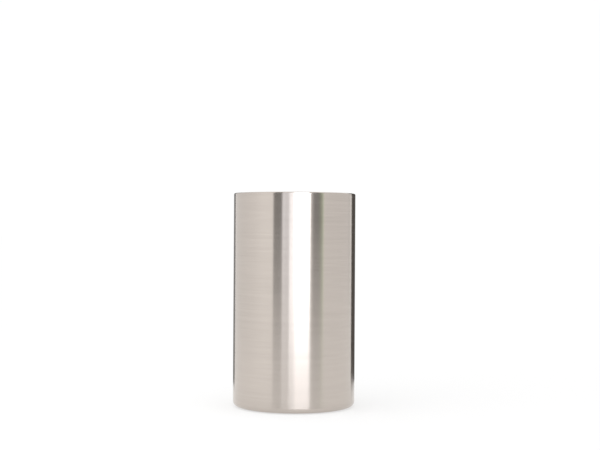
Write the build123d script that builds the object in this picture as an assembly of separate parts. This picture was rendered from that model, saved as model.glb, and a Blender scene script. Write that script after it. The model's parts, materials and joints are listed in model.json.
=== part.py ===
from build123d import *
import os

# Double-wall bottle cooler for the table, in millimetres.
# Origin: centre of the ring it stands on, at table level. +Z is up, along the cooler's axis.

# Sizes that a user of the model would change
bore_diameter = 90.0         # the well, for bottles of 82 to 89 mm
overall_height = 178.0       # table to the top of the rim
wall_gap = 4.9               # clear space between the two skins
floor_height = 13.0          # table to the floor of the well

# Outer skin: a brushed tube turned in at the foot
shell_wall = 0.6
shell_foot_radius = 4.0      # bend at the foot, measured on the outside
foot_clearance = 0.6         # the steel stands this far off the table
flange_lap = 3.5             # width of the turned-in flange under the base plate

# Inner skin: a deep-drawn cup with its mouth rolled over the top
liner_wall = 0.5
liner_floor_radius = 6.0     # bend between wall and floor, inside
mouth_radius = 2.2           # bend from the well into the rim
rim_radius = 1.0             # outer edge of the rim
lip_depth = 4.6              # how far the rolled lip comes down the outside
floor_dish_depth = 0.8       # the floor's centre is pressed down by this much

# The joint between lip and shell, welded and ground flush
weld_gap = 0.8
weld_bulge = 0.25            # penetration bead on the hidden side

# Base plate
plate_thickness = 0.6
plate_edge_clearance = 0.5   # plate edge to the start of the shell's bend
plate_rise = 2.0             # the centre is pressed up by this much
weld_leg = 0.6               # bead between flange and plate, seen from below
centre_radius = 22.0         # pressed centres of the floor and of the base plate
centre_slope = 3.0           # width of the slope round a pressed centre
press_radius = 1.5           # bend at each edge of a slope

# Foot ring and its adhesive
foot_clear_of_flange = 2.0
foot_width = 8.0
adhesive_thickness = 0.15
adhesive_inset = 0.5
groove_count = 3
groove_width = 0.4
groove_depth = 0.3

# Vent plug
vent_diameter = 3.0
plug_head_diameter = 7.0
plug_head_thickness = 1.0
plug_bulb_diameter = 4.2
plug_tip_diameter = 2.0
plug_bulb_length = 1.8

# Foam between the skins
sleeve_clearance = 0.9       # sleeve to the outer skin
sleeve_slit = 1.0            # where the wrapped sheet's ends meet
sleeve_above_floor = 2.0
sleeve_below_rim = 10.0
support_clear_of_centre = 2.0
support_clear_of_bend = 1.0

# Radii and heights that follow from them
bore_radius = bore_diameter / 2
liner_outer_radius = bore_radius + liner_wall
shell_inner_radius = liner_outer_radius + wall_gap
shell_radius = shell_inner_radius + shell_wall
lip_bottom = overall_height - lip_depth
shell_top = lip_bottom - weld_gap
plate_bottom = foot_clearance + shell_wall
plate_top = plate_bottom + plate_thickness
plate_radius = shell_radius - shell_foot_radius - plate_edge_clearance
flange_radius = plate_radius - flange_lap
foot_radius = flange_radius - foot_clear_of_flange
floor_underside = floor_height - liner_wall
vent_plate_bottom = plate_bottom + plate_rise


def turned(outline):
    """Turn a closed outline, drawn as (radius, height), once round Z."""
    return revolve(make_face(Plane.XZ * outline), Axis.Z)


def turned_sheet(points, bends, thickness):
    """Turn a sheet of even thickness: the face given, and its copy to the right of the path."""
    face_line = FilletPolyline(*points, radius=bends)
    return turned(offset(face_line, thickness, side=Side.RIGHT))


def ring(outer_radius, inner_radius, bottom, top):
    """A plain flat-ended ring."""
    corners = [(outer_radius, bottom), (outer_radius, top), (inner_radius, top), (inner_radius, bottom)]
    return turned(Polyline(*corners, close=True))


def outer_shell():
    points = [(shell_radius, shell_top), (shell_radius, foot_clearance), (flange_radius, foot_clearance)]
    return turned_sheet(points, [shell_foot_radius], shell_wall)


def inner_liner():
    dish_floor = floor_height - floor_dish_depth
    points = [
        (0, dish_floor),
        (centre_radius - centre_slope, dish_floor),
        (centre_radius, floor_height),
        (bore_radius, floor_height),
        (bore_radius, overall_height),
        (shell_radius, overall_height),
        (shell_radius, lip_bottom),
    ]
    bends = [press_radius, press_radius, liner_floor_radius, mouth_radius, rim_radius]
    return turned_sheet(points, bends, liner_wall)


def rim_weld():
    lip_inner = (shell_radius - liner_wall, lip_bottom)
    shell_inner = (shell_inner_radius, shell_top)
    bulge = (shell_inner_radius - weld_bulge, (lip_bottom + shell_top) / 2)
    outside = Polyline(lip_inner, (shell_radius, lip_bottom), (shell_radius, shell_top), shell_inner)
    return turned(outside + ThreePointArc(shell_inner, bulge, lip_inner))


def insulation_sleeve():
    outer_radius = shell_inner_radius - sleeve_clearance
    bottom = floor_height + sleeve_above_floor
    top = overall_height - sleeve_below_rim
    slit = Pos(0, outer_radius, (bottom + top) / 2) * Box(sleeve_slit, outer_radius, top - bottom)
    return ring(outer_radius, liner_outer_radius, bottom, top) - slit


def support_ring():
    outer_radius = bore_radius - liner_floor_radius - support_clear_of_bend
    inner_radius = centre_radius + support_clear_of_centre
    return ring(outer_radius, inner_radius, plate_top, floor_underside)


def base_plate():
    points = [
        (vent_diameter / 2, vent_plate_bottom),
        (centre_radius - centre_slope, vent_plate_bottom),
        (centre_radius, plate_bottom),
        (plate_radius, plate_bottom),
    ]
    face_line = FilletPolyline(*points, radius=[press_radius, press_radius])
    return turned(offset(face_line, plate_thickness, side=Side.LEFT))


def base_weld():
    corners = [
        (flange_radius, plate_bottom - weld_leg),
        (flange_radius, plate_bottom),
        (flange_radius - weld_leg, plate_bottom),
    ]
    return turned(Polyline(*corners, close=True))


def vent_plug():
    stem_radius = vent_diameter / 2
    head_radius = plug_head_diameter / 2
    hole_top = vent_plate_bottom + plate_thickness
    corners = [
        (0, vent_plate_bottom - plug_head_thickness),
        (head_radius, vent_plate_bottom - plug_head_thickness),
        (head_radius, vent_plate_bottom),
        (stem_radius, vent_plate_bottom),
        (stem_radius, hole_top),
        (plug_bulb_diameter / 2, hole_top),
        (plug_tip_diameter / 2, hole_top + plug_bulb_length),
        (0, hole_top + plug_bulb_length),
    ]
    return turned(Polyline(*corners, close=True))


def foot_ring():
    pad = ring(foot_radius, foot_radius - foot_width, 0, plate_bottom - adhesive_thickness)
    pitch = foot_width / (groove_count + 1)
    for place in range(groove_count):
        middle = foot_radius - (place + 1) * pitch
        pad -= ring(middle + groove_width / 2, middle - groove_width / 2, -groove_depth, groove_depth)
    return pad


def foot_adhesive():
    outer_radius = foot_radius - adhesive_inset
    inner_radius = foot_radius - foot_width + adhesive_inset
    return ring(outer_radius, inner_radius, plate_bottom - adhesive_thickness, plate_bottom)


pieces = {
    "outer_shell": outer_shell(),
    "inner_liner": inner_liner(),
    "rim_weld": rim_weld(),
    "insulation_sleeve": insulation_sleeve(),
    "support_ring": support_ring(),
    "base_plate": base_plate(),
    "base_weld": base_weld(),
    "vent_plug": vent_plug(),
    "foot_ring": foot_ring(),
    "foot_adhesive": foot_adhesive(),
}

os.makedirs("parts", exist_ok=True)
for name, shape in pieces.items():
    export_step(shape, f"parts/{name}.step")
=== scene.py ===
import json
import math
import bpy
from mathutils import Matrix, Vector


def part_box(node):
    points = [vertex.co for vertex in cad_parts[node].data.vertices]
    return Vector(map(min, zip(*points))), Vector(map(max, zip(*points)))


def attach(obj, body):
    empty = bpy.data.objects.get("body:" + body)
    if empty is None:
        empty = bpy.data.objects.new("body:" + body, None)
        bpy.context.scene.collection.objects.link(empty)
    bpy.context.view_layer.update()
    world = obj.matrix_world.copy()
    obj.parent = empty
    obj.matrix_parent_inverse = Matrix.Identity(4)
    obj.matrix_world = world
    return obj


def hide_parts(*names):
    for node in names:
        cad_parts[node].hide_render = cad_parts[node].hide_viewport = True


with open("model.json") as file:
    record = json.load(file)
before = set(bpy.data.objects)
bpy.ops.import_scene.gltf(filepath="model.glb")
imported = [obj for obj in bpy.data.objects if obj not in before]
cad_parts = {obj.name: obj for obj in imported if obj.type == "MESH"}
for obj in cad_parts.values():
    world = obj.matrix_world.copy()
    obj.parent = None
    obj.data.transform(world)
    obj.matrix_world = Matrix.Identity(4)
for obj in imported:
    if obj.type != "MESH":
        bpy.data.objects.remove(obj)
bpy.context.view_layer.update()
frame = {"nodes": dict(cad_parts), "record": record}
mounts = {mount["name"]: mount for mount in frame["record"]["mounts"]}
mm = 0.001

# places that the frame gives
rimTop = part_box("inner_liner")[1].z
outerRadius = min(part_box(node)[1].y for node in ("outer_shell", "rim_weld", "inner_liner"))
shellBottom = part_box("outer_shell")[0].z
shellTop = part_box("outer_shell")[1].z
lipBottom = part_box("rim_weld")[1].z
boreRadius = mounts["bottle_well"]["dims"]["r_mm"] * mm
floorTop = mounts["bottle_seat"]["pos_m"][2]
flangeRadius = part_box("base_weld")[1].x
print("frame loaded:", len(frame["nodes"]), "nodes")


class Wire:
    # one output of a node; sums with numbers and other wires add Math nodes
    def __init__(self, tree, node, output=0):
        self.tree = tree
        self.node = node
        # a tree's last node has no outputs
        self.socket = node.outputs[output] if len(node.outputs) else None

    def out(self, output):
        return Wire(self.tree, self.node, output)

    def maths(self, operation, first, second=0.0):
        return self.tree.node("ShaderNodeMath", {"operation": operation}, {0: first, 1: second})

    def __add__(self, other):
        return self.maths("ADD", self, other)

    __radd__ = __add__

    def __sub__(self, other):
        return self.maths("SUBTRACT", self, other)

    def __rsub__(self, other):
        return self.maths("SUBTRACT", other, self)

    def __mul__(self, other):
        return self.maths("MULTIPLY", self, other)

    __rmul__ = __mul__

    def __truediv__(self, other):
        return self.maths("DIVIDE", self, other)

    def __pow__(self, other):
        return self.maths("POWER", self, other)


class Tree:
    # a node tree; every socket takes a plain value or a wire
    def __init__(self, tree):
        self.tree = tree

    def node(self, kind, settings=None, sockets=None, output=0):
        made = self.tree.nodes.new(kind)
        for name, value in (settings or {}).items():
            setattr(made, name, value)
        for name, value in (sockets or {}).items():
            if isinstance(value, Wire):
                self.tree.links.new(value.socket, made.inputs[name])
            else:
                made.inputs[name].default_value = value
        return Wire(self, made, output)

    def between(self, value, low, high):
        # 0 below low, 1 above high, smooth in between
        sockets = {"Value": value, "From Min": low, "From Max": high}
        return self.node("ShaderNodeMapRange", {"interpolation_type": "SMOOTHSTEP"}, sockets)

    def blend(self, share, first, second):
        # sockets 6 and 7 are the colour pair of a Mix node
        sockets = {0: share, 6: first, 7: second}
        return self.node("ShaderNodeMix", {"data_type": "RGBA"}, sockets, 2)

    def vector(self, x, y, z):
        return self.node("ShaderNodeCombineXYZ", None, {"X": x, "Y": y, "Z": z})

    def group(self, name, kind, default, direction="INPUT"):
        made = self.tree.interface.new_socket(
            name, in_out=direction, socket_type="NodeSocket" + kind)
        if default is not None:
            made.default_value = default


turning = {
    "turns": 512,             # faces round the axis
    "bendSteps": 10,          # faces round each bend
    "hold": 0.12 * mm,        # an extra edge this far past each bend keeps the flats flat
    "pathRadius": 20 * mm,    # the circle that the outline is swept round
    "sharpAngle": 32.0,       # degrees
    "mergeWithin": 0.002 * mm,
    "mostOfEdge": 0.48,       # a holding point stays on its own half of an edge
}


def closeTree(tree, given, skin):
    # gives the skin its material and ends the tree
    skin = tree.node("GeometryNodeRealizeInstances", None, {"Geometry": skin})
    skin = tree.node("GeometryNodeSetMaterial", None, {
        "Geometry": skin, "Material": given.out("Material")})
    tree.node("NodeGroupOutput", None, {"Geometry": skin})


def turningTree():
    made = bpy.data.node_groups.new("turned outline", "GeometryNodeTree")
    tree = Tree(made)
    tree.group("Outline", "Geometry", None)
    tree.group("Turns", "Int", turning["turns"])
    tree.group("Bend Steps", "Int", turning["bendSteps"])
    tree.group("Path Radius", "Float", turning["pathRadius"])
    tree.group("Sharp Angle", "Float", math.radians(turning["sharpAngle"]))
    tree.group("Material", "Material", None)
    tree.group("Geometry", "Geometry", None, "OUTPUT")
    given = tree.node("NodeGroupInput", None, None, "Outline")

    line = tree.node("GeometryNodeMeshToCurve", None, {"Mesh": given})
    bend = tree.node("GeometryNodeInputNamedAttribute", {"data_type": "FLOAT"}, {"Name": "bend"})
    line = tree.node("GeometryNodeFilletCurve", {"mode": "POLY"}, {
        "Curve": line, "Count": given.out("Bend Steps"), "Radius": bend, "Limit Radius": True})
    place = tree.node("ShaderNodeSeparateXYZ", None, {0: tree.node("GeometryNodeInputPosition")})
    section = tree.vector(place.out("X") - given.out("Path Radius"), place.out("Z") * -1.0, 0.0)
    line = tree.node("GeometryNodeSetPosition", None, {"Geometry": line, "Position": section})

    circle = tree.node("GeometryNodeCurvePrimitiveCircle", None, {
        "Resolution": given.out("Turns"), "Radius": given.out("Path Radius")})
    skin = tree.node("GeometryNodeCurveToMesh", None, {"Curve": circle, "Profile Curve": line})
    skin = tree.node("GeometryNodeMergeByDistance", None, {
        "Geometry": skin, "Distance": turning["mergeWithin"]})

    angle = tree.node("GeometryNodeInputMeshEdgeAngle")
    sharp = tree.node("FunctionNodeCompare", None, {"A": angle, "B": given.out("Sharp Angle")})
    skin = tree.node("GeometryNodeSetShadeSmooth", {"domain": "EDGE"}, {
        "Geometry": skin, "Selection": sharp, "Shade Smooth": False})
    closeTree(tree, given, skin)
    return made


turnedOutline = turningTree()


def offsetCorners(corners, thickness):
    # the same line moved sideways to the right of its direction, with its bends made to suit
    moved = []
    last = len(corners) - 1
    for place, (radius, height, bend) in enumerate(corners):
        here = Vector((radius, height))
        leaving = (Vector(corners[min(place + 1, last)][:2]) - here).normalized()
        arriving = (here - Vector(corners[max(place - 1, 0)][:2])).normalized()
        arriving = leaving if place == 0 else arriving
        leaving = arriving if place == last else leaving
        sideways = Vector((arriving.y + leaving.y, -arriving.x - leaving.x)).normalized()
        reach = thickness / sideways.dot(Vector((arriving.y, -arriving.x)))
        outside = thickness if arriving.cross(leaving) > 0 else -thickness
        newBend = max(bend + outside, 0) if bend else 0
        moved.append((radius + sideways.x * reach, height + sideways.y * reach, newBend))
    return moved


def sheetCorners(corners, thickness):
    # both faces of a pressed sheet, as one outline
    return corners + offsetCorners(corners, thickness)[::-1]


def heldCorners(corners, closed):
    # a point on each side of every bend, so that smooth shading doesn't creep along the flats
    held = []
    count = len(corners)
    for place, (radius, height, bend) in enumerate(corners):
        here = Vector((radius, height))
        inside = closed or 0 < place < count - 1
        if bend > 0 and inside:
            toBefore = Vector(corners[place - 1][:2]) - here
            toAfter = Vector(corners[(place + 1) % count][:2]) - here
            turn = math.pi - toBefore.angle(toAfter)
            reach = bend * math.tan(turn / 2) + turning["hold"]
            most = turning["mostOfEdge"]
            near = here + toBefore.normalized() * min(reach, toBefore.length * most)
            far = here + toAfter.normalized() * min(reach, toAfter.length * most)
            held += [(near.x, near.y, 0), (radius, height, bend), (far.x, far.y, 0)]
        else:
            held.append((radius, height, 0))
    return held


def finished(name, source, tree, values):
    # runs a node tree on the source mesh and keeps the result as a plain object at the origin
    made = bpy.data.objects.new(name + "Source", source)
    bpy.context.scene.collection.objects.link(made)
    modifier = made.modifiers.new("make", "NODES")
    modifier.node_group = tree
    for item in tree.interface.items_tree:
        if item.in_out == "INPUT" and item.name in values:
            modifier[item.identifier] = values[item.name]
    bpy.context.view_layer.update()
    evaluated = made.evaluated_get(bpy.context.evaluated_depsgraph_get())
    mesh = bpy.data.meshes.new_from_object(evaluated)
    mesh.name = name
    bpy.data.objects.remove(made)
    piece = bpy.data.objects.new(name, mesh)
    bpy.context.scene.collection.objects.link(piece)
    return piece


def turned(name, corners, material, closed=True,
           turns=turning["turns"], bendSteps=turning["bendSteps"]):
    points = heldCorners(corners, closed)
    source = bpy.data.meshes.new(name + "Outline")
    edges = [(place, place + 1) for place in range(len(points) - 1)]
    if closed:
        edges.append((len(points) - 1, 0))
    source.from_pydata([(radius, 0, height) for radius, height, bend in points], edges, [])
    bends = source.attributes.new("bend", "FLOAT", "POINT")
    for place, (radius, height, bend) in enumerate(points):
        bends.data[place].value = bend
    values = {"Material": material, "Turns": turns, "Bend Steps": bendSteps}
    piece = finished(name, source, turnedOutline, values)
    print("turned", name, len(piece.data.polygons), "faces")
    return piece


def stands(piece, node):
    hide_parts(node)
    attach(piece, "root")


class Finish(Tree):
    # a Principled material; what varies is wired, what doesn't is set on its socket
    def __init__(self, name, base):
        self.material = bpy.data.materials.new(name)
        self.material.use_nodes = True
        self.material.node_tree.nodes.clear()
        super().__init__(self.material.node_tree)
        self.shader = self.node("ShaderNodeBsdfPrincipled", None, base)
        self.node("ShaderNodeOutputMaterial", None, {"Surface": self.shader})
        self.place = self.node("ShaderNodeTexCoord", None, None, "Object")
        parts = self.node("ShaderNodeSeparateXYZ", None, {0: self.place})
        self.x, self.y, self.z = parts.out("X"), parts.out("Y"), parts.out("Z")

    def wire(self, socket, value):
        self.tree.links.new(value.socket, self.shader.node.inputs[socket])

    def noise(self, scale, detail=2.0, roughness=0.5, vector=None, w=None):
        sockets = {"Vector": vector or self.place, "Scale": scale, "Detail": detail,
                   "Roughness": roughness}
        if w is None:
            return self.node("ShaderNodeTexNoise", None, sockets)
        return self.node("ShaderNodeTexNoise", {"noise_dimensions": "4D"}, {**sockets, "W": w})

    def bump(self, height, depth):
        bumped = self.node("ShaderNodeBump", None, {"Height": height, "Distance": depth})
        self.wire("Normal", bumped)


brushing = {
    # width of the lines, changes on their way round, share of tone, depth
    "grain": (0.13 * mm, 2.6, 0.22, 0.0014),
    "stroke": (0.42 * mm, 1.3, 0.33, 0.0013),
    "streak": (2.2 * mm, 0.7, 0.30, 0.0008),
    "smudge": 0.15,
    "smudgeNoise": (26.0, 3.0, 0.55),     # scale, detail, roughness
    "lineNoise": (1.0, 1.0, 0.6),
    "toneRange": (0.36, 0.64),
    "roughSpread": 0.05,
    "mouthFade": 3 * mm,
    "seamWidth": 0.7 * mm,
    "seamCore": 0.4,                      # share of that width at full strength
    "seamWander": 0.6 * mm,
    "offAxis": 1e-10,                     # keeps the division at the axis finite
}


def brushed(name, colour, roughness, depth=1.0, contrast=0.035, seam=0.0, inside=0.0):
    # steel brushed round the axis: the lines follow the circumference on walls, bends and flats
    finish = Finish(name, {"Metallic": 1.0, "Anisotropic": 0.9, "Anisotropic Rotation": 0.25})
    radius = (finish.x * finish.x + finish.y * finish.y + brushing["offAxis"]) ** 0.5
    smudge = finish.noise(*brushing["smudgeNoise"])
    tone = smudge * brushing["smudge"]
    height = 0.0
    lines = {}
    for kind in ("grain", "stroke", "streak"):
        width, changes, toneShare, deep = brushing[kind]
        around = finish.vector(
            finish.x / radius * changes, finish.y / radius * changes, finish.z / width)
        lines[kind] = finish.noise(*brushing["lineNoise"], around, radius / width)
        tone = tone + lines[kind] * toneShare
        height = height + lines[kind] * deep
    if seam:
        # the sheet's joint, ground down and brushed over, at the back
        width, wander = brushing["seamWidth"], brushing["seamWander"]
        beside = smudge.maths("ABSOLUTE", finish.x + smudge * wander - wander / 2)
        behind = finish.between(finish.y, 0.0, 1 * mm)
        line = (1.0 - finish.between(beside, width * brushing["seamCore"], width)) * behind
        tone = tone - line * seam
    dark = tuple(channel * (1 - contrast) for channel in colour)
    light = tuple(channel * (1 + contrast) for channel in colour)
    share = finish.between(tone, *brushing["toneRange"])
    finish.wire("Base Color", finish.blend(share, (*dark, 1), (*light, 1)))
    spread = brushing["roughSpread"]
    rough = (lines["stroke"] - 0.5) * spread + (smudge - 0.5) * spread + roughness
    if inside:
        # duller within the mouth
        outwards = finish.between(radius, boreRadius, boreRadius + brushing["mouthFade"])
        rough = rough + (1.0 - outwards) * inside
    finish.wire("Roughness", rough)
    finish.bump(height, mm * depth)
    return finish


def shellFinish():
    return brushed("brushed shell", (0.56, 0.505, 0.46), 0.2, seam=0.12)


def groundFinish():
    return brushed("ground weld", (0.555, 0.5, 0.455), 0.2, depth=1.3)


def linerFinish():
    return brushed("satin liner", (0.56, 0.505, 0.46), 0.2, inside=0.1)


rolling = {
    "along": 60,              # lines to a metre, along and across the rolling
    "across": 3200,
    "heatFrom": 3.2 * mm,     # inwards from the flange's edge
    "heatTo": 0.4 * mm,
    "depth": 0.004 * mm,
}


def millFinish():
    # rolled sheet, with the straw colour that the weld's heat leaves near the flange
    finish = Finish("rolled plate", {"Metallic": 1.0})
    across = rolling["across"]
    grain = finish.vector(finish.x * rolling["along"], finish.y * across, finish.z * across)
    rolled = finish.noise(1.0, 3.0, 0.6, grain)
    cloud = finish.noise(45.0, 4.0, 0.6)
    finish.wire("Roughness", rolled * 0.12 + cloud * 0.16 + 0.26)
    radius = (finish.x * finish.x + finish.y * finish.y) ** 0.5
    heatFrom, heatTo = flangeRadius - rolling["heatFrom"], flangeRadius - rolling["heatTo"]
    heat = finish.between(radius, heatFrom, heatTo)
    plain = finish.blend(cloud, (0.50, 0.475, 0.45, 1), (0.57, 0.54, 0.51, 1))
    finish.wire("Base Color", finish.blend(heat, plain, (0.42, 0.31, 0.19, 1)))
    finish.bump(rolled, rolling["depth"])
    return finish


def weldFinish():
    finish = Finish("weld bead", {"Metallic": 1.0})
    tint = finish.noise(160.0, 3.0, 0.6)
    share = finish.between(tint, 0.35, 0.65)
    finish.wire("Base Color", finish.blend(share, (0.50, 0.44, 0.36, 1), (0.36, 0.30, 0.29, 1)))
    finish.wire("Roughness", tint * 0.25 + 0.2)
    return finish


rubber = {"speckDepth": 0.02 * mm, "dustSpread": 0.14, "dustGain": 1.5, "dustTone": 0.012}


def rubberFinish(name, colour, roughness):
    finish = Finish(name, {"Specular IOR Level": 0.35})
    speck = finish.noise(5200.0, 2.0, 0.6)
    dust = finish.noise(90.0, 4.0, 0.6)
    dusty = tuple(channel * rubber["dustGain"] + rubber["dustTone"] for channel in colour)
    share = finish.between(dust, 0.45, 0.75)
    finish.wire("Base Color", finish.blend(share, (*colour, 1), (*dusty, 1)))
    spread = rubber["dustSpread"]
    finish.wire("Roughness", dust * spread + (roughness - spread / 2))
    finish.bump(speck, rubber["speckDepth"])
    return finish


cell = {"scale": 1400.0, "depth": 0.12 * mm}


def foamFinish():
    finish = Finish("closed-cell foam", {"Roughness": 0.9, "Specular IOR Level": 0.2})
    cells = finish.node("ShaderNodeTexVoronoi", None, {
        "Vector": finish.place, "Scale": cell["scale"]})
    tone = finish.between(cells, 0.0, 0.7)
    finish.wire("Base Color", finish.blend(tone, (0.72, 0.72, 0.69, 1), (0.88, 0.88, 0.86, 1)))
    finish.bump(cells, cell["depth"])
    return finish


def adhesiveFinish():
    finish = Finish("adhesive film", {})
    cloud = finish.noise(400.0, 3.0, 0.6)
    film = finish.blend(cloud, (0.62, 0.58, 0.48, 1), (0.74, 0.71, 0.62, 1))
    finish.wire("Base Color", film)
    finish.wire("Roughness", cloud * 0.2 + 0.32)
    return finish


shellSteel = shellFinish()
groundSteel = groundFinish()
linerSteel = linerFinish()
plateSteel = millFinish()
weldSteel = weldFinish()
footRubber = rubberFinish("foot rubber", (0.022, 0.022, 0.023), 0.72)
silicone = rubberFinish("vent silicone", (0.46, 0.46, 0.45), 0.55)
foam = foamFinish()
adhesive = adhesiveFinish()
print("finishes made")


shell = {"wall": 0.6 * mm, "footBend": 4.0 * mm, "cutEdge": 0.12 * mm}


def makeShell():
    face = [
        (outerRadius, shellTop, 0),
        (outerRadius, shellBottom, shell["footBend"]),
        (flangeRadius, shellBottom, 0),
    ]
    corners = sheetCorners(face, shell["wall"])
    for cut in (2, 3):
        corners[cut] = (*corners[cut][:2], shell["cutEdge"])
    stands(turned("outerShell", corners, shellSteel.material), "outer_shell")


liner = {
    "wall": 0.5 * mm,
    "floorBend": 6.0 * mm,
    "mouthBend": 2.2 * mm,
    "rimBend": 1.0 * mm,
    "dishDepth": 0.8 * mm,
    "dishRadius": 22 * mm,
    "dishSlope": 3.0 * mm,
    "pressBend": 1.5 * mm,
}


def makeLiner():
    dishFloor = floorTop - liner["dishDepth"]
    face = [
        (0, dishFloor, 0),
        (liner["dishRadius"] - liner["dishSlope"], dishFloor, liner["pressBend"]),
        (liner["dishRadius"], floorTop, liner["pressBend"]),
        (boreRadius, floorTop, liner["floorBend"]),
        (boreRadius, rimTop, liner["mouthBend"]),
        (outerRadius, rimTop, liner["rimBend"]),
        (outerRadius, lipBottom, 0),
    ]
    corners = sheetCorners(face, liner["wall"])
    piece = turned("innerLiner", corners, linerSteel.material, closed=False)
    stands(piece, "inner_liner")


rim = {"bead": 0.2 * mm, "beadBend": 0.15 * mm, "toeBend": 0.05 * mm}


def makeRimWeld():
    inside = outerRadius - shell["wall"]
    corners = [
        (outerRadius, lipBottom, 0),
        (outerRadius, shellTop, 0),
        (inside, shellTop, rim["toeBend"]),
        (inside - rim["bead"], shellTop + rim["bead"], rim["beadBend"]),
        (inside - rim["bead"], lipBottom - rim["bead"], rim["beadBend"]),
        (inside, lipBottom, rim["toeBend"]),
    ]
    stands(turned("rimWeld", corners, groundSteel.material), "rim_weld")


plate = {
    "wall": 0.6 * mm,
    "centreRadius": 22 * mm,
    "centreSlope": 3.0 * mm,
    "rise": 2.0 * mm,
    "holeRadius": 1.5 * mm,
    "pressBend": 1.5 * mm,
    "burr": 0.06 * mm,
}


def makeBasePlate():
    low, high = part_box("base_plate")
    edge = min(high.x, high.y)
    flat = low.z + plate["wall"]
    face = [
        (plate["holeRadius"], flat + plate["rise"], plate["burr"]),
        (plate["centreRadius"] - plate["centreSlope"], flat + plate["rise"], plate["pressBend"]),
        (plate["centreRadius"], flat, plate["pressBend"]),
        (edge, flat, plate["burr"]),
    ]
    corners = sheetCorners(face, plate["wall"])
    for cut in (0, 3, 4, 7):
        corners[cut] = (*corners[cut][:2], plate["burr"])
    stands(turned("basePlate", corners, plateSteel.material), "base_plate")


bead = {
    "leg": 0.6 * mm,
    "toeBend": 0.05 * mm,
    "belly": ((0.55, 0.12), (0.88, 0.45)),     # inwards and upwards, in legs
    "bellyBend": 0.5,         # in legs
    "ripples": 330,
    "rippleDepth": 0.05 * mm,
    "crescent": 1.3,
    "wobble": 0.9,
    "turns": 2640,            # eight to each ripple
    "bendSteps": 3,
}


def ripplesTree():
    # rings of a weld pool: ridges round the bead, each bowed like a crescent
    made = bpy.data.node_groups.new("weld ripples", "GeometryNodeTree")
    tree = Tree(made)
    tree.group("Bead", "Geometry", None)
    tree.group("Ripples", "Float", bead["ripples"])
    tree.group("Depth", "Float", bead["rippleDepth"])
    tree.group("Crescent", "Float", bead["crescent"])
    tree.group("Middle", "Float", 0.0)
    tree.group("Half Width", "Float", bead["leg"] / 2)
    tree.group("Material", "Material", None)
    tree.group("Geometry", "Geometry", None, "OUTPUT")
    given = tree.node("NodeGroupInput", None, None, "Bead")
    place = tree.node("ShaderNodeSeparateXYZ", None, {0: tree.node("GeometryNodeInputPosition")})
    turn = place.maths("ARCTAN2", place.out("Y"), place.out("X"))
    across = (place.out("Z") - given.out("Middle")) / given.out("Half Width")
    phase = turn * given.out("Ripples") / 2 + across * across * given.out("Crescent")
    wobble = tree.node("ShaderNodeTexNoise", None, {"Scale": 900.0, "Detail": 1.0})
    ridge = phase.maths("ABSOLUTE", phase.maths("SINE", phase + wobble * bead["wobble"]))
    sink = (1 - ridge) * given.out("Depth") * -1.0
    normal = tree.node("GeometryNodeInputNormal")
    offset = tree.node("ShaderNodeVectorMath", {"operation": "SCALE"}, {0: normal, 3: sink})
    skin = tree.node("GeometryNodeSetPosition", None, {"Geometry": given, "Offset": offset})
    closeTree(tree, given, skin)
    return made


def makeBaseWeld():
    low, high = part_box("base_weld")
    edge = min(high.x, high.y)
    leg = bead["leg"]
    corners = [
        (edge, high.z, 0),
        (edge, low.z, bead["toeBend"]),
        *((edge - leg * inwards, low.z + leg * upwards, leg * bead["bellyBend"])
          for inwards, upwards in bead["belly"]),
        (edge - leg, high.z, bead["toeBend"]),
    ]
    plain = turned("plainBead", corners, weldSteel.material,
                   turns=bead["turns"], bendSteps=bead["bendSteps"])
    values = {"Material": weldSteel.material, "Middle": (low.z + high.z) / 2}
    piece = finished("baseWeld", plain.data, ripplesTree(), values)
    bpy.data.objects.remove(plain)
    stands(piece, "base_weld")


plug = {
    "turns": 96,
    "head": 3.495 * mm,
    "headThickness": 1.0 * mm,
    "headBend": 0.35 * mm,
    "stem": 1.5 * mm,
    "bulb": 2.1 * mm,
    "bulbRise": 0.35 * mm,
    "bulbBend": 0.3 * mm,
    "tip": 1.0 * mm,
    "edgeBend": 0.12 * mm,
    "cornerBend": 0.05 * mm,
    "dimpleMouth": 1.65 * mm,
    "dimpleFloor": 1.25 * mm,
    "dimpleDepth": 0.25 * mm,
    "dimpleBend": 0.2 * mm,
}


def makeVentPlug():
    low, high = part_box("vent_plug")
    headTop = low.z + plug["headThickness"]
    bulbFoot = headTop + plate["wall"]
    corners = [
        (0, high.z, 0),
        (plug["tip"], high.z, plug["headBend"]),
        (plug["bulb"], bulbFoot + plug["bulbRise"], plug["bulbBend"]),
        (plug["bulb"], bulbFoot, plug["edgeBend"]),
        (plug["stem"], bulbFoot, plug["cornerBend"]),
        (plug["stem"], headTop, plug["cornerBend"]),
        (plug["head"], headTop, plug["edgeBend"]),
        (plug["head"], low.z, plug["headBend"]),
        (plug["dimpleMouth"], low.z, plug["dimpleBend"]),
        (plug["dimpleFloor"], low.z + plug["dimpleDepth"], plug["dimpleBend"]),
        (0, low.z + plug["dimpleDepth"], 0),
    ]
    piece = turned("ventPlug", corners, silicone.material, closed=False, turns=plug["turns"])
    stands(piece, "vent_plug")


foot = {
    "turns": 360,
    "inside": 33.0 * mm,
    "grooves": (39.0 * mm, 37.0 * mm, 35.0 * mm),
    "grooveWidth": 0.4 * mm,
    "grooveDepth": 0.3 * mm,
    "edgeBend": 0.15 * mm,
    "grooveBend": 0.06 * mm,
}


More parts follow.
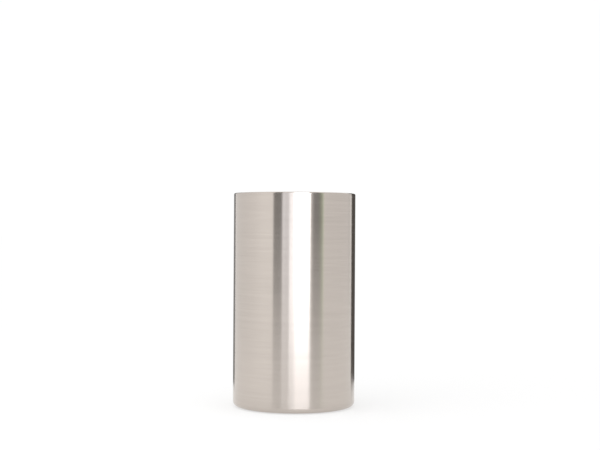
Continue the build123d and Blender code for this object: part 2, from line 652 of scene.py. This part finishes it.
def makeFootRing():
    low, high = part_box("foot_ring")
    edge = min(high.x, high.y)
    half, bend = foot["grooveWidth"] / 2, foot["grooveBend"]
    top = low.z + foot["grooveDepth"]
    corners = [
        (foot["inside"], high.z, bend),
        (edge, high.z, bend),
        (edge, low.z, foot["edgeBend"]),
    ]
    for middle in foot["grooves"]:
        corners += [(middle + half, low.z, bend), (middle + half, top, bend),
                    (middle - half, top, bend), (middle - half, low.z, bend)]
    corners.append((foot["inside"], low.z, foot["edgeBend"]))
    piece = turned("footRing", corners, footRubber.material, turns=foot["turns"])
    stands(piece, "foot_ring")


makeShell()
makeLiner()
makeRimWeld()
makeBasePlate()
makeBaseWeld()
makeVentPlug()
makeFootRing()


# metres and millimetres of lens; the three turns are in degrees
camera = {
    "distance": 0.98,
    "height": 0.1461,
    "lens": 69.9,
    "sensor": 36,
    "right": 0.265,
    "up": 0.328,
    "roll": 0.337,
}


def makeCamera():
    data = bpy.data.cameras.new("camera")
    data.lens = camera["lens"]
    data.sensor_width = camera["sensor"]
    made = bpy.data.objects.new("camera", data)
    turn = Matrix.Rotation(math.radians(-camera["right"]), 4, "Z")
    tilt = Matrix.Rotation(math.radians(90 + camera["up"]), 4, "X")
    roll = Matrix.Rotation(math.radians(camera["roll"]), 4, "Z")
    stand = Matrix.Translation((0, -camera["distance"], camera["height"]))
    made.matrix_world = stand @ turn @ tilt @ roll
    bpy.context.scene.collection.objects.link(made)
    bpy.context.scene.camera = made


neutral = (1, 1, 1)
cool = (0.97, 1.0, 1.07)
warm = (1.08, 1.0, 0.94)
green = (0.95, 1.1, 0.82)

# an upright wall round the table: degrees from the camera's side, brightness and tint
backdrop = {
    "distance": 1.5,
    "height": 1.6,
    "glow": [
        (-140, 0.93, neutral), (-105, 0.98, neutral), (-80, 1.06, neutral), (-62, 1.17, neutral),
        (-40, 1.2, neutral), (-38.8, 0.17, neutral), (-22.8, 0.17, neutral), (-22.5, 1.4, cool),
        (-16, 1.1, cool), (-10.5, 1.1, cool), (-8.5, 1.6, cool), (-3, 1.7, cool), (0, 2.2, cool),
        (1.5, 4.3, cool), (28.2, 4.3, cool), (28.8, 1.2, neutral), (32, 0.5, neutral),
        (36, 0.2, neutral), (44, 0.17, neutral), (48.5, 0.25, green), (52, 0.44, green),
        (54.5, 0.83, green), (56.2, 0.98, neutral), (62, 0.92, neutral), (118, 0.9, neutral),
        (127, 0.75, neutral),
    ],
}
# dark cards close behind the cooler, for its two edges
cards = {
    "rightCard": {"from": 121.6, "to": 165.0, "distance": 0.18, "glow": 0.1, "tint": warm},
    "leftCard": {"from": -163.0, "to": -131.5, "distance": 0.16, "glow": 0.27, "tint": neutral},
}
cardHeight = 0.26
wallStep = 3                  # degrees; a wall's columns are added no closer than this
# a low strip that widens the foot of the bright band
strip = {
    "distance": 1.48,
    "height": 0.055,
    "glow": [(-10, 1.5, cool), (-8.5, 6, cool), (1, 6, cool)],
}
table = {"size": 30.0, "below": 0.02 * mm, "colour": 0.42, "roughness": 0.8, "glow": 0.566}
sun = {"strength": 0.12, "softness": 60.0, "tilt": -24.0}
fill = {"place": (-0.3, -0.22, 0.3), "power": 0.4, "size": 0.3}
roomBrightness = 1.01


def makeWall(name, points, distance, height):
    # an upright band that only reflections see; its light is stored on its corners
    columns = []
    for (fromTurn, fromGlow, fromTint), (toTurn, toGlow, toTint) in zip(points, points[1:]):
        steps = max(int((toTurn - fromTurn) / wallStep), 1)
        for step in range(steps):
            share = step / steps
            colour = [first * fromGlow * (1 - share) + second * toGlow * share
                      for first, second in zip(fromTint, toTint)]
            columns.append((fromTurn + (toTurn - fromTurn) * share, colour))
    columns.append((points[-1][0], [channel * points[-1][1] for channel in points[-1][2]]))
    corners, colours, faces = [], [], []
    for place, (turn, colour) in enumerate(columns):
        x = distance * math.sin(math.radians(turn))
        y = -distance * math.cos(math.radians(turn))
        corners += [(x, y, 0), (x, y, height)]
        colours += [(*colour, 1)] * 2
        if place:
            faces.append((place * 2 - 2, place * 2, place * 2 + 1, place * 2 - 1))
    mesh = bpy.data.meshes.new(name)
    mesh.from_pydata(corners, [], faces)
    glow = mesh.attributes.new("glow", "FLOAT_COLOR", "POINT")
    glow.data.foreach_set("color", [channel for colour in colours for channel in colour])
    mesh.materials.append(wallLight)
    wall = bpy.data.objects.new(name, mesh)
    bpy.context.scene.collection.objects.link(wall)
    wall.visible_camera = wall.visible_diffuse = wall.visible_shadow = False


def wallLightMaterial():
    material = bpy.data.materials.new("wall light")
    material.use_nodes = True
    material.node_tree.nodes.clear()
    tree = Tree(material.node_tree)
    glow = tree.node("ShaderNodeAttribute", {"attribute_name": "glow"})
    light = tree.node("ShaderNodeEmission", None, {"Color": glow, "Strength": 1.0})
    tree.node("ShaderNodeOutputMaterial", None, {"Surface": light})
    return material


wallLight = wallLightMaterial()


def makeTable():
    half = table["size"] / 2
    mesh = bpy.data.meshes.new("table")
    low = -table["below"]
    corners = [(-half, -half, low), (half, -half, low), (half, half, low), (-half, half, low)]
    mesh.from_pydata(corners, [], [(0, 1, 2, 3)])
    white = Finish("table white", {
        "Base Color": (*[table["colour"]] * 3, 1), "Roughness": table["roughness"],
        "Specular IOR Level": 0.0,
        "Emission Color": (1, 1, 1, 1), "Emission Strength": table["glow"]})
    mesh.materials.append(white.material)
    made = bpy.data.objects.new("table", mesh)
    bpy.context.scene.collection.objects.link(made)


def makeLights():
    data = bpy.data.lights.new("sun", "SUN")
    data.energy = sun["strength"]
    data.angle = math.radians(sun["softness"])
    made = bpy.data.objects.new("sun", data)
    made.rotation_euler = (math.radians(sun["tilt"]), 0, 0)
    bpy.context.scene.collection.objects.link(made)

    # brightens the table in front and to the left
    data = bpy.data.lights.new("fill", "AREA")
    data.energy = fill["power"]
    data.size = fill["size"]
    made = bpy.data.objects.new("fill", data)
    made.location = fill["place"]
    made.visible_glossy = made.visible_camera = False
    bpy.context.scene.collection.objects.link(made)

    world = bpy.data.worlds.new("white room")
    world.use_nodes = True
    background = world.node_tree.nodes["Background"]
    background.inputs["Color"].default_value = (1, 1, 1, 1)
    background.inputs["Strength"].default_value = roomBrightness
    bpy.context.scene.world = world


makeCamera()
makeWall("backdrop", backdrop["glow"], backdrop["distance"], backdrop["height"])
makeWall("strip", strip["glow"], strip["distance"], strip["height"])
for name, card in cards.items():
    makeWall(name, [(card[end], card["glow"], card["tint"]) for end in ("from", "to")],
             card["distance"], cardHeight)
makeTable()
makeLights()
print("studio made")
bpy.context.scene.view_settings.view_transform = "Standard"

# the soft pieces between the skins keep their CAD shapes
keptMeshes = {"insulation_sleeve": foam, "support_ring": foam, "foot_adhesive": adhesive}
for node, finish in keptMeshes.items():
    for slot in frame["nodes"][node].material_slots:
        slot.material = finish.material
